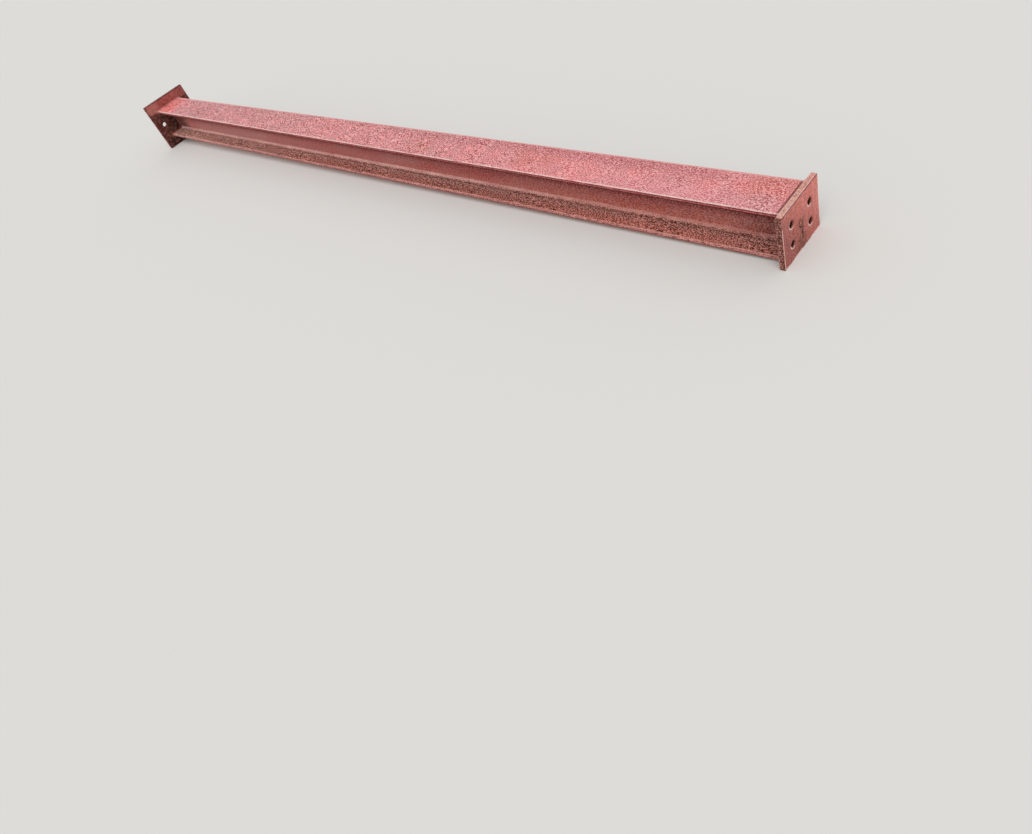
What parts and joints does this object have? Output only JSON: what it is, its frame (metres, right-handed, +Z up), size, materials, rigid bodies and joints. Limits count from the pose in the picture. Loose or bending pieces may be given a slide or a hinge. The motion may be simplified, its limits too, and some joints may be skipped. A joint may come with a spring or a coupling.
{
  "type": "steel i-beam with welded end plates",
  "caption": "Rolled wide-flange steel beam with a drilled base plate welded across one end and a smaller drilled cap plate across the other, for bolting up as a column.",
  "frame": {"origin": "on the floor plane, level with the lower edge of the base plate, under the middle of the whole length", "axes": "+X along the section towards the cap plate, +Z up with the web upright, +Y across the flanges"},
  "size_m": [4.4, 0.3, 0.3],
  "materials": {
    "primed_section": "matt red-oxide primer, weathered and speckled",
    "primed_base_plate": "matt red-oxide primer, rust coming through",
    "primed_cap_plate": "matt red-oxide primer with rust runs",
    "primed_weld": "matt primer over a rippled weld bead"
  },
  "bodies": {
    "root": {"i_section": "primed_section", "base_plate": "primed_base_plate", "cap_plate": "primed_cap_plate", "base_weld": "primed_weld", "cap_weld": "primed_weld"}
  },
  "joints": []
}
